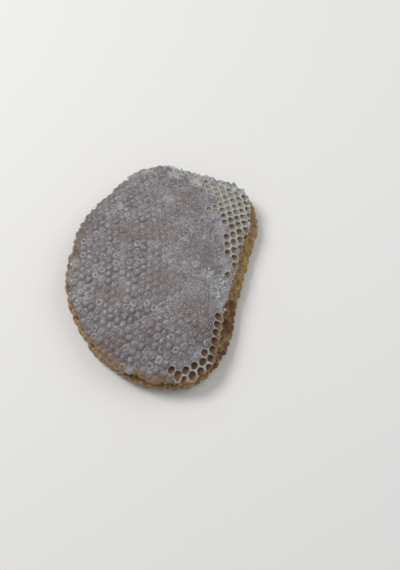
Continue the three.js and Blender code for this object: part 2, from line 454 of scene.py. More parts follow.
# One run of free sides as rows of points from the top down, with their looks
def tearRun(layer, cell, index, topHeight, bottomHeight):
    isUpper = layer is upper
    shares = tear["rowShares"][:, None]
    middle = layer["middles"][cell]
    column, row = layer["cells"][cell]
    r = [randomAt(column, row, 40 + n + layer["salt"]) for n in range(6)]
    calm = calmness(middle)
    isTorn = isUpper and nearAny(middle, cappings["torn"])
    t = np.linspace(0, 1, len(index))
    bow = np.sin(np.pi * t)
    whole = layer["sides"][cell][index]
    away = whole - middle
    distance = lengthOf(away)[:, None]
    circle = middle + away / distance * distance.mean()
    roundness = tear["roundness"] * (1 - 0.5 * calm) * (1.0 if isUpper else tear["lowerRounder"])
    whole = whole + (circle - whole) * (roundness * bow ** 0.5)[:, None]
    chord = whole[-1] - whole[0]
    width = lengthOf(chord)
    outward = np.array([chord[1], -chord[0]]) / width
    toChord = np.dot(whole[0] - middle, outward)
    deep = min(tear["hollowDepth"] * min(width / tear["hollowWidth"], 1), toChord + tear["wallBehind"])
    hollow = whole[0] + chord * t[:, None] - outward * (deep * bow ** 0.7)[:, None]
    broken = isTorn or r[0] < tear["brokenShare"] * (1 - calm)
    depth = (0.7 + 0.3 * r[1]) if broken else tear["wholeDepth"] * r[1]
    ragged = 0.5 + 0.5 * np.sin(t * np.pi * (3 + 4 * r[3]) + 6 * r[4])
    nibble = tear["nibble"] * r[2] * ragged * bow * min(max(toChord, 0.2) / 1.5, 1)
    nibble = nibble * broken * (1 - calm)
    topXY = whole + (hollow - whole) * nibble[:, None]
    zTop = topHeight(topXY)
    if isUpper:
        zTop = zTop - (0.5 * r[3] + 0.35 * ragged) * bow * (1 - calm)
        if layer["open"][cell]:
            zTop = zTop - bow ** 0.6 * ((0.8 + 1.8 * r[1]) if broken else 0.5 * ragged)
        windowEnd = 0.45 + 0.75 * r[5]
        opening = smooth(0.0, 0.13, shares) * (1 - 0.75 * smooth(windowEnd, windowEnd + 0.2, shares))
        opening *= 1 - 0.4 * smooth(0.8, 1.0, shares)
        scallop = tear["upperScallop"] + tear["backScallop"] * backLeft(whole)
    else:
        opening = smooth(0.0, 0.2, shares) * (1 - 0.9 * smooth(0.72, 0.95, shares))
        scallop = tear["lowerScallop"]
    z = zTop + (bottomHeight(whole) - zTop) * shares
    swell = (0.0 if broken else tear["bulge"] + 0.1 * calm * r[2]) * np.sin(np.pi * shares)
    settle = smooth(0.5, 1.0, shares) * (1 - opening)
    xy = topXY + (hollow - topXY) * (depth * opening)[..., None]
    xy = xy + (whole - topXY) * settle[..., None]
    xy = xy + outward * (swell * bow)[..., None]
    drawn = scallop * (1 + 1.4 * lumps(withZ(whole, 0.0), tear["scallopSize"], 35))
    drawn = np.maximum(drawn, 0.1) * (1 - calmness(whole)) ** 2 * (1 - bow) ** 2
    xy = xy - whole / lengthOf(whole)[:, None] * drawn[:, None]
    flatRow = withZ(np.broadcast_to(whole, z.shape + (2,)), z)
    rough = sideRoughness(flatRow) * (0.25 + 0.75 * smooth(0, 0.1, shares))[..., None]
    if not isUpper:
        rough *= (1 - smooth(0.85, 1.0, shares))[..., None]
    wet = calm * (0.25 + 1.2 * lumps(flatRow, tear["wetSize"], 36))
    looks = gatherLooks(
        flatRow, crest=1 - shares, chance=r[4], warm=np.clip(depth * opening * bow + wet, 0, 1),
        crust=isUpper * (1 - 0.6 * calm), golden=(1 - bow ** 0.5) * (1 - 0.4 * calm), tan=calm,
        tint=blob(whole, patches["red"]))
    return withZ(xy + rough, z), looks


# All runs of one layer, and the borders that they leave for the cells' tops and bottoms
def tearEdge(skin, layer, topHeight, bottomHeight, slot):
    per = comb["sideSamples"]
    top = withZ(layer["sides"], topHeight(layer["sides"]))
    bottom = withZ(layer["sides"], bottomHeight(layer["sides"]))
    for cell in np.nonzero(layer["free"].any(axis=1))[0]:
        for start, length in freeRuns(layer["free"][cell]):
            index = (start * per + np.arange(length * per + 1)) % samplesRound
            sheet, looks = tearRun(layer, cell, index, topHeight, bottomHeight)
            addSheet(skin, sheet, looks, slot)
            top[cell, index] = sheet[0]
            bottom[cell, index] = sheet[-1]
    return top, bottom


# Cappings: dry white wax domes, plump on the left and along the front, flatter and finer in the middle
cappings = {
    "rise": 0.93,
    "riseSpread": 0.85,
    "flatRise": 0.16,
    "ringShares": [1, 0.93, 0.83, 0.72, 0.58, 0.42, 0.22],
    "flatAcross": (-16, 14),  # x where they turn flat towards the right
    "flatForward": (-50, -22),  # y where they turn flat towards the back
    "backAlong": (45, 66),  # y where the plump ones sink a little towards the back
    "backSink": 0.3,
    "rimAlong": (61, 68),  # y of the plump ones at the very back
    "rimPlumpness": 0.7,
    "sameCell": 0.52,  # of the pitch: a place this near to a middle means that cell
    "offCentre": 1.3,
    "unevenRim": 0.22,
    "ringedAbove": 0.93,  # random share above which a plump one has a raised ring
    "dimpledAbove": 0.55,
    "dimple": 0.6,
    "ringDimple": 0.8,
    "dimpleWidth": 1.1,
    "dentHeight": -0.6,
    "tornHeight": -1.7,
    "pitDepth": 1.6,
    "pitWidth": 0.7,
    "paintedHighlightFrom": 2.36,  # radians: the side of each capping given a painted highlight, towards the key light at the upper left
    "ringAt": 0.62,  # share of the way to the rim
    "ringWidth": 0.2,
    "spotWidth": 1.3,
    "rings": [(5.3, -58.3), (14.5, -60.1), (1.5, -64.7), (-4.8, -66.3), (-6.2, -74.4), (-32.3, -67.7)],
    "dents": [(20.3, 54.5), (27.1, 58.3), (30.7, 64.2), (36, 60), (41, 63), (46, 61)],
    "pits": [(43.1, -18.0), (44.3, -18.6), (48.3, -21.1), (-46.3, -17.9)],
    "torn": [(-59.5, 2.0), (-59.5, -14.6), (-55.4, 9.1), (-61, -20)],
}
patches = {  # x, y, radius
    "bright": [
        (23.5, -62.6, 3.6), (28.2, -59.6, 3.6), (40.6, 24.7, 5), (41.5, 18, 3), (43.4, 4.6, 4),
        (42.5, 30, 4), (37, 36, 4), (-26.5, 44.4, 3), (24.1, -0.7, 3.4), (-18, -70.1, 4),
        (6.3, 48.7, 5), (-19.5, 72.6, 4), (-32, -67.2, 3),
    ],
    "crust": [
        (32, -7, 5), (38.3, -16, 7), (44, -13, 8), (45.5, -22, 9), (43, -29, 6), (46, -4, 5),
        (-49, -19, 9), (-53, -8, 7), (-57, 2, 6), (-59, 8, 5), (-61, -9, 6), (-56, -22, 6),
        (40, 62, 12), (50, 58, 9), (27, 67, 9), (-8, 75, 5), (10, 71, 6),
    ],
    "brown": [
        (1.4, -13.8, 15), (17, 43, 16), (26.6, -44.9, 12), (24, -34, 14), (-20, 22, 13), (-29, -55.6, 12),
        (28, 8, 12), (-30, -20, 11), (2, 24, 13), (-48, 30, 5), (-6, -50, 9),
    ],
    "tan": [
        (20.3, 54.5, 3), (27.7, 58.2, 3.4), (35.4, 60.3, 3), (30.7, 64.2, 3), (26.6, -44.9, 4),
        (-59.5, 2, 3), (-59, -15, 4),
    ],
    "fine": [(22, 18, 34), (12, 38, 26), (20, -32, 26)],  # finely crumbled, with white specks
    "red": [  # dark honey, laid on darker and wider than the honey alone as painted shade along the front right
        (50.4, -30.3, 7), (45.5, -38.9, 8), (48, -23, 5), (45.4, -51.8, 5), (42, -58, 5), (36, -66, 4),
    ],
    "goldenEnds": (168, 196, 268, 296),  # degrees: along the front left the cappings are soaked with honey
    "goldenWidth": 7.5,
    "goldenWidens": (205, 262),
    "paleEnds": (105, 120, 168, 196),  # along the left and back left a little of it shows, laid on stronger and wider partly as painted shade of the left margin
    "paleGold": 0.55,
    "paleWidth": 8.0,
}


def blob(xy, spots):
    value = np.zeros(xy.shape[:-1])
    for x, y, radius in spots:
        value = np.maximum(value, 1 - smooth(0.35, 1.1, distanceTo(xy, x, y) / radius))
    return value


def nearAny(xy, spots):
    nearest = np.min([distanceTo(xy, x, y) for x, y in spots], axis=0)
    return nearest < comb["cellPitch"] * cappings["sameCell"]


def plumpness(xy):
    left = 1 - smooth(*cappings["flatAcross"], xy[..., 0])
    left = left * (1 - cappings["backSink"] * smooth(*cappings["backAlong"], xy[..., 1]))
    front = 1 - smooth(*cappings["flatForward"], xy[..., 1])
    rim = cappings["rimPlumpness"] * smooth(*cappings["rimAlong"], xy[..., 1])
    return np.clip(np.maximum(left, np.maximum(front, rim)), 0, 1)


def goldenShare(xy):
    inward = tearRadius("upperTear", xy) - lengthOf(xy)
    width = patches["goldenWidth"] * (0.4 + 0.6 * smooth(*patches["goldenWidens"], degreesOf(xy)))
    width = width * (1 + 0.7 * lumps(withZ(xy, 0.0), 7.0, 32))
    soaked = alongEdge(xy, patches["goldenEnds"]) * (1 - smooth(0, width, inward))
    pale = alongEdge(xy, patches["paleEnds"]) * (1 - smooth(0, patches["paleWidth"], inward))
    return soaked + patches["paleGold"] * pale


# Some of a layer's cells as rings of points from the border in, by (cell, ring, sample, xy)
def ringCells(layer, chosen, border, shares):
    middles = layer["middles"][chosen][:, None, None]
    border = border[chosen][:, None]
    shares = np.array(shares)[:, None]
    xy = middles + (border[..., :2] - middles) * shares[..., None]
    return middles, border, shares, xy


# How far each ring is pulled to the height of a border that the torn edge has moved
def borderPull(border, height, shares):
    return (border[..., 2] - height(border[..., :2])) * shares ** 4


def addCappings(skin, top, slot):
    chosen = ~upper["open"]
    middles, border, shares, xy = ringCells(upper, chosen, top, cappings["ringShares"])
    r = [upper["random"](n)[chosen][:, None, None] for n in range(10)]
    reach = lengthOf(border[..., :2] - middles).reshape(len(border), 6, comb["sideSamples"])
    inner = reach[:, :, 1:].mean(axis=(1, 2))[:, None, None] * 0.98
    plump = plumpness(middles)
    offset = cappings["offCentre"] * plump[..., None] * np.stack([r[4] - 0.5, r[6] - 0.5], axis=-1)
    radius = inner * (1.0 + 0.22 * (r[1] - 0.6) * plump)
    spoke = xy - (middles + offset)
    away = lengthOf(spoke) / radius
    away *= 1 + cappings["unevenRim"] * plump * lumps(withZ(xy, 0.0), 2.6, 33)
    away = np.maximum(away, shares ** 6)
    ringed = nearAny(middles, cappings["rings"]) | ((r[5] > cappings["ringedAbove"]) & (plump > 0.5))
    sunk = nearAny(middles, cappings["dents"])
    torn = nearAny(middles, cappings["torn"])
    dimpled = r[2] > cappings["dimpledAbove"]
    rise = cappings["flatRise"] + (cappings["rise"] - cappings["flatRise"]) * plump
    rise = rise + cappings["riseSpread"] * (r[0] - 0.5) * (0.2 + 0.8 * plump)
    rise = np.where(r[9] < 0.08 * plump, 0.1, rise)
    rise = np.where(torn, cappings["tornHeight"], np.where(sunk, cappings["dentHeight"], rise))
    dome = np.clip(1 - away ** 2, 0, 1) ** (1.1 + 0.4 * r[8] - 0.4 * plump)
    dimple = np.where(dimpled, cappings["dimple"] * r[2], 0.0) * plump
    dimple = np.where(ringed, cappings["ringDimple"], dimple)
    height = rise * dome
    height -= dimple * bell(away * radius, cappings["dimpleWidth"])
    solid = withZ(xy, upperHeight(xy) + borderPull(border, upperHeight, shares) + height)
    inside = 1 - shares ** 8
    crust = blob(xy, patches["crust"])
    lumpy = lumps(solid, 1.9, 5, 3)
    gritty = lumps(solid, 0.95, 15)
    crumble = crust * (0.8 * np.abs(lumps(solid, 1.5, 6, 3)) + 0.6 * lumps(solid, 3.2, 34, 1) + 0.1)
    solid[..., 2] += ((0.16 + 0.06 * plump) * lumpy + (0.2 - 0.08 * plump) * gritty + crumble) * inside
    for x, y in cappings["pits"]:
        pit = cappings["pitDepth"] * bell(distanceTo(solid, x, y), cappings["pitWidth"])
        solid[..., 2] -= pit * inside
    solid[:, 0] = border[:, 0]
    # Painted highlight: a pale crescent or spot on the side of each capping that faces the key light
    highlightTurn = cappings["paintedHighlightFrom"] + 3.2 * (r[3] - 0.5)
    crescent = 0.55 + 0.45 * np.cos(np.arctan2(spoke[..., 1], spoke[..., 0]) - highlightTurn)
    ring = bell(away - cappings["ringAt"], cappings["ringWidth"])
    ring = ring * np.where(ringed, 1.0, crescent) - 0.45 * bell(away, 0.36)
    spot = 0.95 * bell(lengthOf(spoke - 0.8 * onCircle(highlightTurn)), cappings["spotWidth"]) - 0.12
    ring = np.where(ringed | dimpled, ring, spot)
    ring = ring * (np.where(ringed, 0.9, 0.36 + 0.42 * r[6]) * np.maximum(plump, ringed))
    # Paler on the tops of the domes and darker in the grooves between them: partly honey showing through
    # thinner wax, partly painted shade
    crest = 0.32 - 0.2 * plump + (0.1 + 0.08 * plump) * dome + 1.05 * ring
    crest += (0.48 - 0.14 * plump) * lumpy + (0.6 - 0.3 * plump) * gritty
    # Painted shade: darker towards the left, and most along the left margin
    crest -= 0.07 * smooth(-5, -45, xy[..., 0]) + 0.2 * smooth(-42, -60, xy[..., 0])
    golden = goldenShare(xy)
    crust = crust * np.clip(0.85 + 1.3 * lumps(solid, 2.4, 16, 3), 0, 1)
    crust = crust * (1 - 0.7 * golden) * (1 - 0.5 * smooth(-38, -50, xy[..., 0]))  # thinner on the left
    tan = np.maximum(blob(xy, patches["tan"]), torn * inside)
    looks = gatherLooks(
        solid, crest=np.clip(crest, 0, 1), chance=r[7], warm=blob(xy, patches["brown"]), crust=crust,
        golden=golden, tan=tan, fine=blob(xy, patches["fine"]), tint=blob(xy, patches["bright"]))
    addRings(skin, solid, looks, slot)


# How pale and how dark with honey an open cell is
def paleShare(middles):
    pale = smooth(*openCells["paleAlong"], middles[..., 1])
    return np.maximum(pale, inOvals(middles, openCells["shallows"]))


def amberShare(middles):
    return 1 - smooth(*openCells["amberAlong"], middles[..., 1])


# Open cells: thick pale rims, drawn in at the mouth and wider below, with honey standing in them
def addOpenCells(skin, top, slot):
    chosen = upper["open"]
    middles = upper["middles"][chosen][:, None]
    border = top[chosen]
    r = [upper["random"](n)[chosen][:, None] for n in range(5)]
    pale = paleShare(middles)
    amber = amberShare(middles)
    spokes = border[..., :2] - middles
    length = lengthOf(spokes)
    direction = spokes / length[..., None]
    mean = length.mean(axis=1)[:, None]
    hexagonal = length / mean
    size = np.minimum(mean / openCells["usualReach"], 1.25) * (1 - 0.08 * pale + 0.1 * amber)
    mouth = openCells["mouthRadius"] * size * (0.95 + 0.12 * r[0]) * (0.7 + 0.3 * hexagonal)
    mouth = np.minimum(mouth, length - openCells["mouthWall"])
    belly = openCells["bellyRadius"] * size * (0.65 + 0.35 * hexagonal)
    belly = np.minimum(belly, length - openCells["bellyWall"])
    depth = openCells["honeyDepth"] + openCells["honeyDepthSpread"] * (r[1] - 0.5)
    depth = depth * (1 - 0.35 * pale + 0.15 * amber)
    depth = depth - openCells["shallower"] * upper["shallow"][chosen][:, None]
    level = upperHeight(middles) - depth
    rings = []
    for toMouth, toBelly, down in openCells["profile"]:
        radius = length + (mouth - length) * toMouth
        radius = radius + (belly - mouth) * toBelly
        rings.append(withZ(middles + direction * radius[..., None], border[..., 2] - down))
    for inward, below in openCells["bottom"]:
        last = rings[-1][..., :2]
        rings.append(withZ(last + (middles - last) * inward, level - below))
    solid = np.stack(rings, axis=1)
    solid[:, 1:-2, :, 2] = np.maximum(solid[:, 1:-2, :, 2], (level - 0.6)[:, None])
    inside = (np.arange(solid.shape[1]) > 0)[:, None]
    solid[..., 2] += openCells["lumpHeight"] * lumps(solid, 1.6, 8) * inside
    swing = (openCells["wallSwing"] + openCells["amberSwing"] * amber)[:, None]
    swing = swing * lumps(solid, 2.2, 9) * inside
    solid[..., :2] += direction[:, None] * swing[..., None]
    below = border[:, None, :, 2] - solid[..., 2]
    white = 1 - bareBand(solid[..., :2])
    looks = gatherLooks(
        solid, crest=(1 - smooth(0.2, 2.4, below)) * (0.3 + 0.7 * white), chance=r[4][:, None],
        warm=amber[:, None], crust=(1 - smooth(0.1, 0.8, below)) * white, golden=pale[:, None])
    addRings(skin, solid, looks, slot)
    return middles, level, belly, direction, r


def addHoney(places):
    middles, level, belly, direction, r = places
    skin = newSkin()
    rings = []
    for share, rise in openCells["honeySkin"]:
        xy = middles + direction * ((belly + openCells["honeyOverlap"]) * share)[..., None]
        rings.append(withZ(xy, level + rise))
    solid = np.stack(rings, axis=1)
    solid[:, 1:, :, 2] += 0.05 * lumps(solid[:, 1:], 2.4, 12, 1)
    looks = gatherLooks(
        solid, crest=r[2][:, None], chance=r[3][:, None], warm=amberShare(middles)[:, None],
        crust=paleShare(middles)[:, None])
    addRings(skin, solid, looks, 0, withZ(middles, level - 0.15)[:, 0])
    addRings(skin, solid[:, :1], looks[:, :1], 0, withZ(middles, level - 0.35)[:, 0], turn=-1)
    makePiece("honeyInCells", skin, [honey])


# The underside: cappings pressed flat where the comb rests
def addUnderside(skin, bottom, slot):
    capRadius = 2.6
    middles, border, shares, xy = ringCells(lower, slice(None), bottom, [1, 0.88, 0.7, 0.4])
    away = lengthOf(border[..., :2] - middles) * shares / capRadius
    lift = np.clip(liftShare(xy) * comb["undersideCapFade"], 0, 1)
    depth = comb["undersideCapDepth"] * lift * np.minimum(away, 1) ** 2.2
    solid = withZ(xy, lowerHeight(xy) + depth + borderPull(border, undersideGroove, shares))
    solid[..., 2] += 0.12 * np.abs(lumps(solid, 1.9, 14)) * (1 - shares ** 8)
    solid[:, 0] = border[:, 0]
    chance = lower["random"](1)[:, None, None]
    looks = gatherLooks(solid, crest=1 - smooth(0.6, 1.0, away), chance=chance, warm=1 - lift)
    addRings(skin, solid, looks, slot, turn=-1)


# Closes a layer at the midrib with one flat face a cell
def closeLayer(skin, border, slot, turn=1):
    first = addPoints(skin, border, np.zeros(len(lookNames)))
    faces = first + np.arange(len(border) * samplesRound).reshape(-1, samplesRound)
    addFaces(skin, faces[:, ::turn], slot)


# The torn midrib: lumps and bottoms of cells, which show where the upper layer broke off further in
def addMidrib(skin, head, slot):
    bareFrom = 0.86  # share of the way to the upper tear
    isNear = reachAt("upperTear", lower["middles"]) > bareFrom
    closeLayer(skin, head[~isNear], slot)
    border, shares, xy = ringCells(lower, isNear, head, [1, 0.86, 0.6, 0.3])[1:]
    r = lower["random"](6)[isNear][:, None, None]
    bare = smooth(-3.0, -1.0, lengthOf(xy) - tearRadius("upperTear", xy))
    solid = withZ(xy, headOfLower(xy) + borderPull(border, headOfLower, shares))
    swell = (1.1 - 1.9 * r) * (1 - shares ** 2.2) * (1 - calmness(xy))
    lumpy = lumps(solid, 2.2, 17, 3)
    solid[..., 2] += bare * (0.9 * lumpy + swell) * (1 - shares ** 8)
    solid[:, 0] = border[:, 0]
    looks = gatherLooks(
        solid, crest=0.5, warm=np.clip(-0.4 * swell - 0.6 * lumpy, 0, 1),
        golden=np.clip(0.6 * swell + 0.8 * lumpy + 0.3 * shares ** 4, 0, 1),
        tan=calmness(xy), tint=blob(xy, patches["red"]))
    addRings(skin, solid, looks, slot)


# Materials. Colours are sRGB, turned to linear here
def fromHex(code):
    values = [int(code[i:i + 2], 16) / 255 for i in (1, 3, 5)]
    return tuple(v / 12.92 if v <= 0.04045 else ((v + 0.055) / 1.055) ** 2.4 for v in values) + (1.0,)


def addNode(tree, kind, inputs=None, **settings):
    node = tree.nodes.new(kind)
    for name, value in settings.items():
        setattr(node, name, value)
    for socket, value in (inputs or {}).items():
        if isinstance(value, bpy.types.NodeSocket):
            tree.links.new(value, node.inputs[socket])
        else:
            node.inputs[socket].default_value = value
    return node


def newMaterial(name):
    material = bpy.data.materials.new(name)
    material.use_nodes = True
    tree = material.node_tree
    tree.nodes.clear()
    addNode(tree, "ShaderNodeTexCoord", name="place")
    parts = {}
    for attribute, channels in (("look", lookNames[:4]), ("stain", lookNames[4:])):
        colour = addNode(tree, "ShaderNodeVertexColor", layer_name=attribute)
        split = addNode(tree, "ShaderNodeSeparateColor", {"Color": colour.outputs["Color"]})
        for channel, socket in zip(channels, list(split.outputs) + [colour.outputs["Alpha"]]):
            parts[channel] = socket
    return material, tree, parts


# Light goes into wax and honey: what share of it, how far as red, green and blue, and a scale in mm
def finishMaterial(material, colour, roughness, ior, depth, normal=None):
    tree = material.node_tree
    share, radius, scale = depth
    inputs = {"Base Color": colour, "Roughness": roughness, "IOR": ior}
    inputs.update({"Subsurface Weight": share, "Subsurface Radius": radius, "Subsurface Scale": scale * mm})
    if normal:
        inputs["Normal"] = normal
    shader = addNode(tree, "ShaderNodeBsdfPrincipled", inputs)
    addNode(tree, "ShaderNodeOutputMaterial", {"Surface": shader.outputs["BSDF"]})
    return material


# Colours laid over the first one, each by its share
def layColours(tree, colour, layers):
    for share, over in layers:
        pair = [fromHex(c) if isinstance(c, str) else c for c in (colour, over)]
        inputs = {0: share, 6: pair[0], 7: pair[1]}
        colour = addNode(tree, "ShaderNodeMix", inputs, data_type="RGBA").outputs[2]
    return colour


def times(tree, a, b):
    return addNode(tree, "ShaderNodeMath", {0: a, 1: b}, operation="MULTIPLY").outputs[0]


def ramp(tree, value, low, high):
    inputs = {"Value": value, "From Min": low, "From Max": high}
    return addNode(tree, "ShaderNodeMapRange", inputs).outputs["Result"]


def grain(tree, size, detail=3.0, stretch=None):
    place = tree.nodes["place"].outputs["Object"]
    if stretch:
        place = addNode(tree, "ShaderNodeMapping", {"Vector": place, "Scale": stretch}).outputs["Vector"]
    inputs = {"Vector": place, "Scale": 1 / (size * mm), "Detail": detail, "Roughness": 0.55}
    return addNode(tree, "ShaderNodeTexNoise", inputs).outputs["Fac"]


def bump(tree, height, strength, depth, under=None):
    inputs = {"Height": height, "Strength": strength, "Distance": depth * mm}
    if under:
        inputs["Normal"] = under
    return addNode(tree, "ShaderNodeBump", inputs).outputs["Normal"]


def whiteBeeswaxCapping():
    # dry-capped beeswax that bees laid down as crumbs: waxy, a bluish white haze over pinkish brown honey.
    # The haze is laid on by the crest share, so it also carries a painted highlight on each capping's
    # key-light side and painted shade in the grooves
    material, tree, parts = newMaterial("whiteBeeswaxCapping")
    coarse = grain(tree, 1.7)
    fine = grain(tree, 0.9, 2.0)
    wide = grain(tree, 12.0, 2.0)
    clumps = ramp(tree, grain(tree, 3.2, 4.0), 0.34, 0.58)
    white = times(tree, ramp(tree, fine, 0.55, 0.68), ramp(tree, parts["fine"], -0.9, 1.0))
    wax = layColours(tree, "#625655", [
        (times(tree, parts["crest"], ramp(tree, coarse, 0.15, 0.65)), "#abaeb6"),
        (times(tree, ramp(tree, wide, 0.45, 0.75), 0.2), "#939498"),
        (ramp(tree, parts["chance"], 0.3, 2.4), "#9d9ea2"),
        (times(tree, parts["warm"], ramp(tree, wide, 0.85, 0.25)), "#71625e"),
        (times(tree, parts["golden"], 0.9), "#7e5f32"),
        (times(tree, parts["tint"], 0.5), "#a9abb2"),
        (times(tree, parts["crust"], 0.9), layColours(tree, "#888683", [(clumps, "#bfc1bc")])),
        (times(tree, parts["tan"], 0.75), "#6f5b42"),
        (times(tree, ramp(tree, fine, 0.48, 0.34), 0.5), "#5c5150"),
        (times(tree, white, 0.75), "#bababd"),
    ])
    normal = bump(tree, coarse, 0.22, 0.6, bump(tree, fine, 0.4, 0.3))
    return finishMaterial(material, wax, 0.47, 1.44, (0.15, (1.0, 0.7, 0.5), 1.0), normal)


def looseWhiteWax():
    # crumbs and torn walls of dry beeswax: thin and white, with light going through
    material, tree, parts = newMaterial("looseWhiteWax")
    coarse = grain(tree, 1.6)
    fine = grain(tree, 0.5, 4.0)
    wax = layColours(tree, "#9a9a97", [
        (ramp(tree, coarse, 0.3, 0.65), "#b9baba"),
        (parts["chance"], "#c9cbcd"),
        (times(tree, parts["golden"], 0.75), "#a08c60"),
    ])
    normal = bump(tree, fine, 0.3, 0.2)
    return finishMaterial(material, wax, 0.5, 1.44, (0.3, (1.0, 0.9, 0.8), 1.0), normal)


def cellWallWax():
    # beeswax walls: pale and matt on the thick rims, tan and shiny with honey down inside
    material, tree, parts = newMaterial("cellWallWax")
    coarse = grain(tree, 1.8)
    fine = grain(tree, 0.5, 4.0)
    wax = layColours(tree, "#978774", [
        (parts["warm"], "#7b5227"),
        (parts["golden"], "#918c7d"),
        (parts["crest"], "#989590"),
        (parts["crust"], "#adafb0"),
        (ramp(tree, coarse, 0.6, 0.3), "#918b80"),
    ])
    normal = bump(tree, fine, 0.3, 0.2)
    return finishMaterial(material, wax, 0.45, 1.44, (0.12, (1.0, 0.75, 0.5), 1.5), normal)


def honeySoakedWax():
    # torn comb wet with honey: golden wax walls with a gloss, darker where the honey lies thick
    material, tree, parts = newMaterial("honeySoakedWax")
    coarse = grain(tree, 2.4)
    streaks = grain(tree, 1.0, 3.0, (1, 1, 0.25))
    pale = times(tree, ramp(tree, parts["crest"], 0.82, 1.0), ramp(tree, streaks, 0.2, 0.6))
    wax = layColours(tree, "#816539", [
        (ramp(tree, coarse, 0.3, 0.7), "#a38652"),
        (parts["warm"], "#5e4220"),
        (times(tree, parts["golden"], 0.7), "#c2a264"),
        (times(tree, parts["tan"], ramp(tree, coarse, 0.75, 0.2)), "#7a5f3a"),
        # Dark honey patches, partly painted shade along the front right
        (times(tree, parts["tint"], 0.9), "#60311a"),
        (times(tree, pale, parts["crust"]), "#aba394"),
    ])
    roughness = ramp(tree, coarse, -0.1, 1.5)
    normal = bump(tree, streaks, 0.45, 0.5)
    return finishMaterial(material, wax, roughness, 1.46, (0.3, (1.0, 0.55, 0.2), 2.0), normal)


def liquidHoney():
    # honey standing in a cell over a tan wax bottom: brown amber and glossy, or a dry pale bottom
    material, tree, parts = newMaterial("liquidHoney")
    cloud = grain(tree, 2.0, 2.0)
    amber = layColours(tree, "#643c19", [(parts["crest"], "#80521f")])
    honey = layColours(tree, "#8e7868", [
        (parts["crest"], "#9e8b7b"),
        (parts["crust"], "#8a8574"),
        (parts["warm"], amber),
        (ramp(tree, cloud, 0.45, 1.2), "#a3957c"),
    ])
    roughness = ramp(tree, parts["crust"], -0.8, 1.6)
    return finishMaterial(material, honey, roughness, 1.49, (0.12, (1.0, 0.5, 0.15), 2.0))


def pressedWax():
    # underside cappings: wax pressed against what it lies on, yellower and damp with honey
    material, tree, parts = newMaterial("pressedWax")
    coarse = grain(tree, 1.8)
    fine = grain(tree, 0.5, 4.0)
    wax = layColours(tree, "#877559", [
        (parts["crest"], "#b0a898"),
        (ramp(tree, parts["chance"], 0.3, 1.4), "#988766"),
        (ramp(tree, coarse, 0.45, 0.8), "#b3aca0"),
    ])
    normal = bump(tree, fine, 0.3, 0.25)
    return finishMaterial(material, wax, 0.42, 1.44, (0.2, (1.0, 0.7, 0.4), 1.5), normal)


cappingWax = whiteBeeswaxCapping()
looseWax = looseWhiteWax()
wallWax = cellWallWax()
sideWax = honeySoakedWax()
honey = liquidHoney()
undersideWax = pressedWax()


def buildUpperCells():
    skin = newSkin()
    top, foot = tearEdge(skin, upper, upperHeight, footOfUpper, 2)
    sideCount = skin["count"]
    addCappings(skin, top, 0)
    honeyPlaces = addOpenCells(skin, top, 1)
    face = np.concatenate(skin["points"])[sideCount:]
    closeLayer(skin, foot, 2, turn=-1)
    makePiece("upperCells", skin, [cappingWax, wallWax, sideWax])
    return top, face, honeyPlaces


def buildLowerCells():
    skin = newSkin()
    head, bottom = tearEdge(skin, lower, headOfLower, undersideGroove, 0)
    addMidrib(skin, head, 0)
    addUnderside(skin, bottom, 1)
    makePiece("lowerCells", skin, [sideWax, undersideWax])


# Crumbs of white wax stuck to the crusts and along the torn back edge
crumbs = {
    "sizes": (0.45, 1.15),  # half the width of the smallest and largest
    "ringTurns": np.array([0.55, 1.1, 1.57, 2.05, 2.6]),  # radians from the foot up to each ring
    "sunkBy": 0.1,
    "angular": 0.8,
    "onCrust": 120,
    "leftShare": 0.3,  # of the crusts left of the middle, which are smoother
    "onEdge": 90,
    "edgeStretch": 1.35,  # how much larger those along the torn edge are
    "edgeDegrees": (26.0, 88.0),
    "edgeInset": 0.6,
    "toCell": 2.2,  # least way from a crumb to the middle of an open cell
    "seed": 4,
}


def crumbPlaces(rng):
    spots = np.array(patches["crust"], float)
    weights = spots[:, 2] ** 2 * np.where(spots[:, 0] < 0, crumbs["leftShare"], 1)
    weights /= weights.sum()
    picked = spots[rng.choice(len(spots), crumbs["onCrust"], p=weights)]
    turns = rng.uniform(0, 2 * np.pi, len(picked))
    offsets = picked[:, 2] * 0.9 * np.sqrt(rng.uniform(0, 1, len(picked)))
    onCrust = picked[:, :2] + onCircle(turns) * offsets[:, None]
    onEdge = onCircle(np.radians(rng.uniform(*crumbs["edgeDegrees"], crumbs["onEdge"])))
    inset = crumbs["edgeInset"] + 4 * rng.random(len(onEdge)) ** 2
    onEdge *= (tearRadius("upperTear", onEdge) - inset)[:, None]
    xy = np.concatenate([onCrust, onEdge])
    scale = np.repeat([1.0, crumbs["edgeStretch"]], [len(onCrust), len(onEdge)])
    room = tearRadius("upperTear", xy) - lengthOf(xy)
    toCell = np.array([lengthOf(upper["middles"][upper["open"]] - p).min() for p in xy])
    free = (room > 0.5) & (toCell > crumbs["toCell"])
    return xy[free], scale[free]


# The top of the face under a crumb
def faceHeight(face, xy):
    away = distanceTo(face, *xy)
    return face[away < max(0.6, away.min() * 1.01), 2].max()


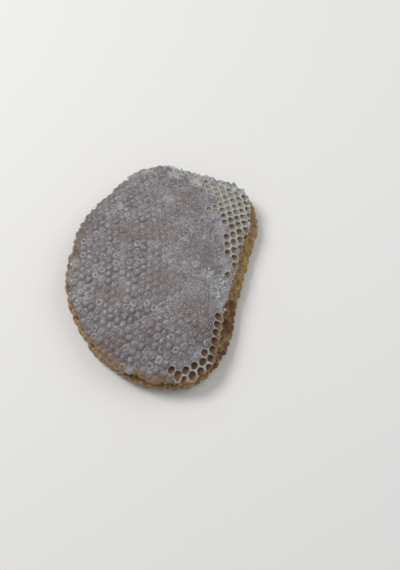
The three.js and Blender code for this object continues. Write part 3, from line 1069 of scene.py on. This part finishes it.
def addCrumbs(face):
    rng = np.random.default_rng(crumbs["seed"])
    xy, scale = crumbPlaces(rng)
    size = rng.uniform(*crumbs["sizes"], len(xy)) * rng.uniform(0.7, 1.0, len(xy)) * scale
    turns = crumbs["ringTurns"][:, None]
    around = onCircle(np.linspace(0, 2 * np.pi, 8, endpoint=False))
    unit = withZ(np.sin(turns)[..., None] * around, -np.cos(turns))
    stretch = rng.uniform(0.7, 1.35, (len(xy), 1, 1, 3)) * (1, 1, 0.55)
    middle = withZ(xy, np.array([faceHeight(face, p) for p in xy]) - crumbs["sunkBy"])
    solid = middle[:, None, None] + unit * stretch * size[:, None, None, None]
    uneven = crumbs["angular"] * lumps(solid, 0.8, 21)
    solid += unit * size[:, None, None, None] * uneven[..., None]
    skin = newSkin()
    looks = gatherLooks(solid, crest=1.0, chance=0.1, crust=0.7)
    up = np.array([0, 0, 0.5]) * size[:, None]
    addRings(skin, solid, looks, 0, middle + up)
    addRings(skin, solid[:, :1], looks[:, :1], 0, middle - up, turn=-1)
    makePiece("waxCrumbs", skin, [looseWax])


# Thin walls of broken cells that stand up raggedly along the torn edge
shards = {
    "along": [  # degrees, and how tall
        (20.0, 41.0, 0.3), (41.0, 46.5, 1.0), (46.5, 48.5, 0.5), (48.5, 54.5, 1.1), (54.5, 58.0, 0.5),
        (58.0, 66.5, 1.1), (66.5, 100.0, 0.4), (100.0, 165.0, 0.22),
    ],
    "skipped": 0.3,  # share of the outer walls that don't stand up
    "inFrom": 0.9,  # share of the way to the tear from which inner walls stand up too
    "missing": 0.45,  # share of inner walls that don't
    "innerHeight": 0.45,  # of the outer ones'
    "height": (1.2, 4.0),
    "thickness": 0.75,
    "lean": (-0.35, 0.5),
    "columns": 6,
    "levels": [  # share of the height, or mm below the rim, and share of the thickness
        (-1.6, 0.0), (-1.4, 1.0), (0.0, 1.0), (0.45, 0.9), (0.8, 0.6), (1.0, 0.0),
    ],
    "seed": 8,
}


def shardWalls(top, rng):
    per = comb["sideSamples"]
    degrees = degreesOf(upper["middles"])
    tall = sum(share * ((degrees > a) & (degrees < b)) for a, b, share in shards["along"])
    tall = tall * (reachAt("upperTear", upper["middles"]) > shards["inFrom"])
    walls = []
    for cell in np.nonzero(tall)[0]:
        for k in range(6):
            isOuter = upper["free"][cell][k]
            missing = shards["skipped"] if isOuter else shards["missing"]
            if rng.random() > missing and (isOuter or upper["open"][cell]):
                share = tall[cell] * (1.0 if isOuter else shards["innerHeight"])
                ends = top[cell, k * per], top[cell, (k + 1) % 6 * per]
                walls.append(ends + (upper["middles"][cell], share))
    return walls


def addShards(top):
    rng = np.random.default_rng(shards["seed"])
    t = np.linspace(0, 1, shards["columns"])
    solids = []
    for start, end, middle, share in shardWalls(top, rng):
        line = start + (end - start) * t[:, None]
        away = line[:, :2].mean(axis=0) - middle
        across = away / lengthOf(away)
        tall = share * rng.uniform(*shards["height"]) * (0.35 + 0.65 * rng.random(len(t)))
        lean = rng.uniform(*shards["lean"])
        rows = []
        for level, thick in shards["levels"]:
            rise = tall * max(level, 0) + min(level, 0)
            centre = line[:, :2] + across * (lean * np.maximum(rise, 0) - 0.3)[:, None]
            half = across * shards["thickness"] * thick / 2
            front = withZ(centre + half, line[:, 2] + rise)
            back = withZ(centre - half, line[:, 2] + rise)
            rows.append(np.concatenate([front, back[::-1]]))
        solids.append(rows)
    solids = np.array(solids)
    solids[:, 1:-1] += 0.14 * lumps(solids[:, 1:-1], 1.1, 23)[..., None]
    skin = newSkin()
    levels = np.array(shards["levels"])[:, :1]
    looks = gatherLooks(solids, chance=0.8, golden=1 - smooth(0.2, 0.9, levels))
    addRings(skin, solids, looks, 0, closed=False)
    makePiece("tornWalls", skin, [looseWax])


top, face, honeyPlaces = buildUpperCells()
buildLowerCells()
addHoney(honeyPlaces)
addCrumbs(face)
addShards(top)


# Floor, lights and camera
studio = {
    "keyLight": {"place": (-0.72, 0.4, 1.06), "size": 0.6, "power": 10.2},  # in metres and watts
    "fillLight": {"place": (0.7, 0.3, 0.8), "size": 0.9, "power": 2.6},
    "skyStrength": 0.4,
    "floorSize": 6.0,
}


def paleFloor():
    material = bpy.data.materials.new("paleFloor")
    material.use_nodes = True
    shader = material.node_tree.nodes["Principled BSDF"]
    shader.inputs["Base Color"].default_value = fromHex("#e9e8e6")
    shader.inputs["Roughness"].default_value = 0.8
    return material


def layFloor():
    mesh = bpy.data.meshes.new("floor")
    far = studio["floorSize"] / 2
    mesh.from_pydata([(-far, -far, 0), (far, -far, 0), (far, far, 0), (-far, far, 0)], [], [(0, 1, 2, 3)])
    mesh.materials.append(paleFloor())
    floor = newObject("floor", mesh)


def addLight(name):
    lamp = bpy.data.lights.new(name, "AREA")
    lamp.shape = "DISK"
    lamp.size = studio[name]["size"]
    lamp.energy = studio[name]["power"]
    light = newObject(name, lamp)
    light.location = studio[name]["place"]
    light.rotation_euler = (-light.location).to_track_quat("-Z", "Y").to_euler()


def lightStudio():
    addLight("keyLight")
    addLight("fillLight")
    world = bpy.data.worlds.new("softSky")
    world.use_nodes = True
    background = world.node_tree.nodes["Background"]
    background.inputs["Color"].default_value = (1, 1, 1, 1)
    background.inputs["Strength"].default_value = studio["skyStrength"]
    bpy.context.scene.world = world
    bpy.context.scene.view_settings.view_transform = "Standard"


view = {
    "elevation": 66.0,
    "lens": 55.8,
    "distance": 0.601,  # in metres
    "nearest": 0.01,
    "aim": (27.26, -4.24),  # the middle of the view on the floor, from the middle of the outline
}


def placeCamera():
    tilt = math.radians(90 - view["elevation"])
    data = bpy.data.cameras.new("camera")
    data.lens = view["lens"]
    data.clip_start = view["nearest"]
    camera = newObject("camera", data)
    aim = np.append((np.array(view["aim"]) - boxMiddle) * mm, 0)
    camera.location = aim + view["distance"] * np.array([0, -math.sin(tilt), math.cos(tilt)])
    camera.rotation_euler = (tilt, 0, 0)
    bpy.context.scene.camera = camera


layFloor()
lightStudio()
placeCamera()
print("stage set")
